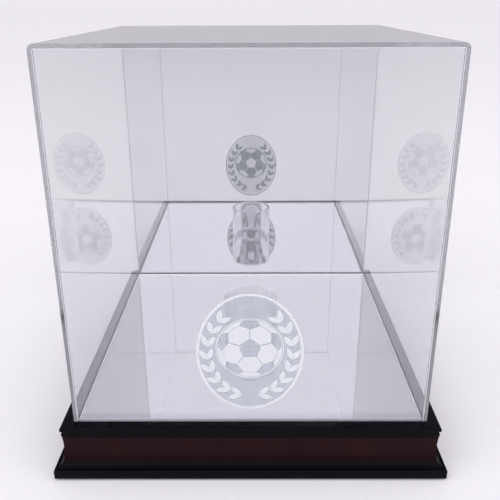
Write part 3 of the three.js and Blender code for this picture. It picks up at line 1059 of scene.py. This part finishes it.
BADGE_MIDDLE = DECK + 60.8 * MM
BADGE_WIDE, BADGE_TALL = 40 * MM, 49.5 * MM
RIM = 1.8 * MM
RIM_GAP = 0.7 * MM
INK = 0.04 * MM  # drawn thicker than real ink, so that the layers stay apart
INK_GAP = 0.02 * MM
BALL_RADIUS = 24 * MM
BALL_RISE = 4 * MM
SEAM = 0.5 * MM
PANEL_SHARE = 0.4  # a panel's radius, as a share of the ball's
BALL_LINE, BALL_GAP = 0.7 * MM, 0.6 * MM
LEAF_LENGTH, LEAF_WIDTH = 10.5 * MM, 4.2 * MM
LEAF_PAIRS = 8
LEAF_LEAN = 0.5  # how far a leaf leans off the stem, in radians
STEM_WIDE, STEM_TALL = 32 * MM, 37.5 * MM
INK_GRAIN = 0.5 * MM
TINT_COVER, WHITE_COVER = 0.26, 0.84
INK_GLOW = 0.3  # the share of its light that the ink takes from behind
INK_TINT = "#b6c6cc"
INK_TINT_DRY = "#c4d2d8"
INK_WHITE = "#f1f4f6"
INK_WHITE_DRY = "#fafbfc"


def oval(wide, tall, steps=96):
    """Points of an ellipse: half its width times the cosine and half its height times the sine."""
    turn = np.linspace(0, 2 * np.pi, steps, endpoint=False)
    return np.stack([wide * np.cos(turn), tall * np.sin(turn)], -1)


def printed(name, outlines, inner, layer):
    """Thin flat prints, each an outline and the loop or point inside it, as closed rings.

    Four loops make one print: inner and outer on its front, and outer and inner on its back.
    layer counts the coats of ink under it.
    """
    outer = np.asarray(outlines)
    inner = np.broadcast_to(inner, outer.shape)
    back = front_low.y - INK_GAP - layer * (INK + INK_GAP)
    loops = [(inner, back - INK), (outer, back - INK), (outer, back), (inner, back)]
    grid = np.stack([
        np.stack([flat[..., 0], np.full(flat.shape[:-1], y), flat[..., 1] + BADGE_MIDDLE], -1)
        for flat, y in loops
    ], 1)
    solid = np.ptp(inner, axis=1).max() < 1e-9
    return grid_mesh(name, grid, ring=not solid, capped=False)


def frosted_ink(name, colour, dry, cover):
    """Screen-printed frosted ink: dull, pale and partly see-through, with a fine dry grain.

    cover is the share of what is behind that one face hides.
    """
    material, tree = new_material(name)
    where = node(tree, "TexCoord").outputs["Object"]
    grain = node(tree, "TexNoise", {"Vector": where, "Scale": 1 / INK_GRAIN, "Detail": 3.0})
    shade = node(tree, "Mix", {
        "Factor": grain.outputs["Fac"],
        "A": linear(colour),
        "B": linear(dry),
    }, data_type="RGBA")
    bump = node(tree, "Bump", {
        "Height": grain.outputs["Fac"],
        "Strength": 0.3,
        "Distance": 0.02 * MM,
    })
    front_lit = node(tree, "BsdfPrincipled", {
        "Base Color": shade.outputs["Result"],
        "Roughness": 0.6,
        "Specular IOR Level": 0.2,
        "Normal": bump.outputs["Normal"],
    })
    back_lit = node(tree, "BsdfTranslucent", {"Color": shade.outputs["Result"]})
    ink = node(tree, "MixShader", {
        0: INK_GLOW,
        1: front_lit.outputs["BSDF"],
        2: back_lit.outputs["BSDF"],
    })
    bare = node(tree, "BsdfTransparent")
    both = node(tree, "MixShader", {0: cover, 1: bare.outputs["BSDF"], 2: ink.outputs["Shader"]})
    node(tree, "OutputMaterial", {"Surface": both.outputs["Shader"]})
    return material


def ball_panels():
    """The white six-sided panels of a football, seen straight on.

    A football's corners cut the edges of an icosahedron in three. A panel is a six-sided ring
    of points on the sphere, drawn in a little for the seam. What lies behind the ball's outline
    is moved onto that outline, between the turns of the panel's outermost seen points, and
    panels wholly behind it are left out.
    """
    low_ring = np.arctan(0.5)
    turn = np.arange(5) * 2 * np.pi / 5
    belts = [(np.cos(low_ring), np.sin(low_ring), turn + np.pi / 2),
             (np.cos(low_ring), -np.sin(low_ring), turn + np.pi / 2 + np.pi / 5)]
    tips = np.vstack([[(0, 0, 1)]] + [
        np.stack([r * np.cos(a), r * np.sin(a), np.full(5, h)], -1) for r, h, a in belts
    ] + [[(0, 0, -1)]])
    near = tips @ tips.T > 0.4
    number = np.arange(12)
    first, second, third = np.meshgrid(number, number, number, indexing="ij")
    joined = near[first, second] & near[second, third] & near[third, first]
    joined &= (first < second) & (second < third)
    corners = tips[np.argwhere(joined)]
    after = np.roll(corners, -1, 1)
    cut = np.stack([(2 * corners + after) / 3, (corners + 2 * after) / 3], 2).reshape(-1, 6, 3)
    along = np.linspace(0, 1, 12, endpoint=False)[:, None]
    rim = cut[:, :, None] * (1 - along) + np.roll(cut, -1, 1)[:, :, None] * along
    rim = rim.reshape(len(cut), -1, 3)
    middle = cut.mean(1, keepdims=True)
    rim = middle + (rim - middle) * (1 - SEAM / (PANEL_SHARE * BALL_RADIUS))
    rim /= np.linalg.norm(rim, axis=-1, keepdims=True)
    rim = rim[(rim[..., 2] > 0.02).mean(1) > 0.08]
    flat, seen = rim[..., :2], rim[..., 2] > 0
    turn = np.arctan2(flat[..., 1], flat[..., 0])
    centre = np.arctan2(*flat.mean(1).T[::-1])[:, None]
    off = (turn - centre + np.pi) % (2 * np.pi) - np.pi
    least = np.where(seen, off, np.inf).min(1, keepdims=True)
    most = np.where(seen, off, -np.inf).max(1, keepdims=True)
    behind = centre + np.clip(off, least, most)
    outline = np.stack([np.cos(behind), np.sin(behind)], -1)
    return np.where(seen[..., None], flat, outline) * BALL_RADIUS + (0, BALL_RISE)


def laurel():
    """Leaves in pairs along two branches that rise from the badge's foot on an oval.

    A leaf's outline is a lens: its length runs from -1 to 1, and its half width is one less
    the square of that.
    """
    side = np.linspace(-1, 1, 17)
    lens = np.vstack([np.stack([side, 1 - side**2], -1),
                      np.stack([side, side**2 - 1], -1)[-2:0:-1]])
    lens = (lens + (1, 0)) * (LEAF_LENGTH / 2, LEAF_WIDTH / 2)
    rise = np.radians(np.linspace(-78, 44, LEAF_PAIRS))
    stem = np.stack([STEM_WIDE * np.cos(rise), STEM_TALL * np.sin(rise)], -1)
    heading = np.arctan2(STEM_TALL * np.cos(rise), -STEM_WIDE * np.sin(rise))
    leaves = []
    for lean in (-LEAF_LEAN, LEAF_LEAN):
        angle = heading + lean
        spin = np.stack([np.stack([np.cos(angle), np.sin(angle)], -1),
                         np.stack([-np.sin(angle), np.cos(angle)], -1)], 1)
        leaves.append(lens @ spin + stem[:, None])
    right = np.concatenate(leaves)
    return np.concatenate([right, right * (-1, 1)])


FROST = frosted_ink("thin_frosted_ink", INK_TINT, INK_TINT_DRY, TINT_COVER)
FROST_WHITE = frosted_ink("solid_frosted_ink", INK_WHITE, INK_WHITE_DRY, WHITE_COVER)
field = oval(BADGE_WIDE - RIM - RIM_GAP, BADGE_TALL - RIM - RIM_GAP)[None]
rim = oval(BADGE_WIDE, BADGE_TALL)[None]
inside_rim = oval(BADGE_WIDE - RIM, BADGE_TALL - RIM)[None]
ball_line, inside_line = [
    oval(BALL_RADIUS + out, BALL_RADIUS + out)[None] + (0, BALL_RISE)
    for out in (BALL_GAP + BALL_LINE, BALL_GAP)
]
ball, leaves = ball_panels(), laurel()
for part, mesh, ink in (
    ("field", printed("badge_field", field, (0, 0), 0), FROST),
    ("rim", printed("badge_rim", rim, inside_rim, 1), FROST_WHITE),
    ("ball_outline", printed("badge_ball_outline", ball_line, inside_line, 1), FROST_WHITE),
    ("ball", printed("badge_ball", ball, ball.mean(1, keepdims=True), 1), FROST_WHITE),
    ("laurel", printed("badge_laurel", leaves, leaves.mean(1, keepdims=True), 1), FROST_WHITE),
):
    place(f"badge_{part}", mesh, ink, "cover")

# ---- Studio --------------------------------------------------------------------------------
# A wide pale floor under a soft sky that is brighter overhead and in front of the case than
# behind it, and two large soft lamps. The camera looks down from just in front of the case.

FLOOR_WHITE = "#f1f1f0"
FLOOR_REACH = 200
FLOOR_LIP = 1.3  # how high its far edge rises, in metres, to cover the horizon
FLOOR_SIDES = 64
SKY_BEHIND, SKY_FRONT = 0.58, 1.34
SKY_LILAC = "#fbf7ff"
SKY_RISE = 0.35  # how much height counts beside the turn to the front


def studio_floor():
    """A pale matt floor, far wider than the view: two rings of points, the outer one raised."""
    material, tree = new_material("pale_floor")
    skin = node(tree, "BsdfPrincipled", {
        "Base Color": linear(FLOOR_WHITE),
        "Roughness": 0.9,
        "Specular IOR Level": 0.1,
    })
    node(tree, "OutputMaterial", {"Surface": skin.outputs["BSDF"]})
    turn = np.linspace(0, 2 * np.pi, FLOOR_SIDES, endpoint=False)
    flat, lip = [np.stack([reach * np.cos(turn), reach * np.sin(turn), 0 * turn + rise], -1)
                 for reach, rise in ((FLOOR_REACH, 0), (1.1 * FLOOR_REACH, FLOOR_LIP))]
    number = np.arange(FLOOR_SIDES)
    beside = np.roll(number, -1)
    rim = np.stack([number, number + FLOOR_SIDES, beside + FLOOR_SIDES, beside], -1)
    mesh = bpy.data.meshes.new("floor")
    mesh.from_pydata(np.vstack([flat, lip]), [], [number.tolist()] + rim.tolist())
    mesh.materials.append(material)
    floor = bpy.data.objects.new("floor", mesh)
    bpy.context.scene.collection.objects.link(floor)
    floor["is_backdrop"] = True


def soft_sky():
    """A sky whose brightness rises with a direction's height and with its turn to the front."""
    world = bpy.data.worlds.new("soft_sky")
    world.use_nodes = True
    tree = world.node_tree
    tree.nodes.clear()
    towards = node(tree, "SeparateXYZ", {"Vector": node(tree, "TexCoord").outputs["Generated"]})
    lean = node(tree, "Math", {
        0: towards.outputs["Z"],
        1: SKY_RISE,
        2: node(tree, "Math", {0: 0.0, 1: towards.outputs["Y"]}, operation="SUBTRACT").outputs[0],
    }, operation="MULTIPLY_ADD")
    strength = node(tree, "MapRange", {
        "Value": lean.outputs["Value"],
        "From Min": -0.6,
        "From Max": 0.9,
        "To Min": SKY_BEHIND,
        "To Max": SKY_FRONT,
    }, interpolation_type="SMOOTHSTEP")
    sky = node(tree, "Background", {
        "Color": linear(SKY_LILAC),
        "Strength": strength.outputs["Result"],
    })
    node(tree, "OutputWorld", {"Surface": sky.outputs["Background"]})
    bpy.context.scene.world = world


def soft_lamp(name, location, aim, size, power):
    """A square lamp at a place, turned to face a point."""
    lamp = bpy.data.lights.new(name, "AREA")
    lamp.size = size
    lamp.energy = power
    holder = bpy.data.objects.new(name, lamp)
    bpy.context.scene.collection.objects.link(holder)
    holder.location = location
    away = holder.location - type(holder.location)(aim)
    holder.rotation_euler = away.to_track_quat("Z", "Y").to_euler()


studio_floor()
soft_sky()
soft_lamp("left_lamp", (-1.6, -0.8, 2.0), (0, 0, 0.15), 1.4, 9)
soft_lamp("right_lamp", (1.8, -0.4, 1.5), (0, 0, 0.15), 1.2, 5)

camera = bpy.data.cameras.new("camera")
camera.lens = 43.63
camera.sensor_width = 36
camera.shift_y = -0.0454
camera.clip_start = 0.01
camera.clip_end = 2 * FLOOR_REACH
viewer = bpy.data.objects.new("camera", camera)
bpy.context.scene.collection.objects.link(viewer)
viewer.location = (0.0023, -0.5264, 0.3513)
viewer.rotation_euler = np.radians((69.445, 0.21, 0.193))
bpy.context.scene.camera = viewer

scene = bpy.context.scene
scene.view_settings.view_transform = "Standard"
scene.cycles.max_bounces = 72
scene.cycles.transmission_bounces = 48
scene.cycles.glossy_bounces = 64
scene.cycles.transparent_max_bounces = 48
scene.cycles.caustics_refractive = True
scene.cycles.caustics_reflective = True

low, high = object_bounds()
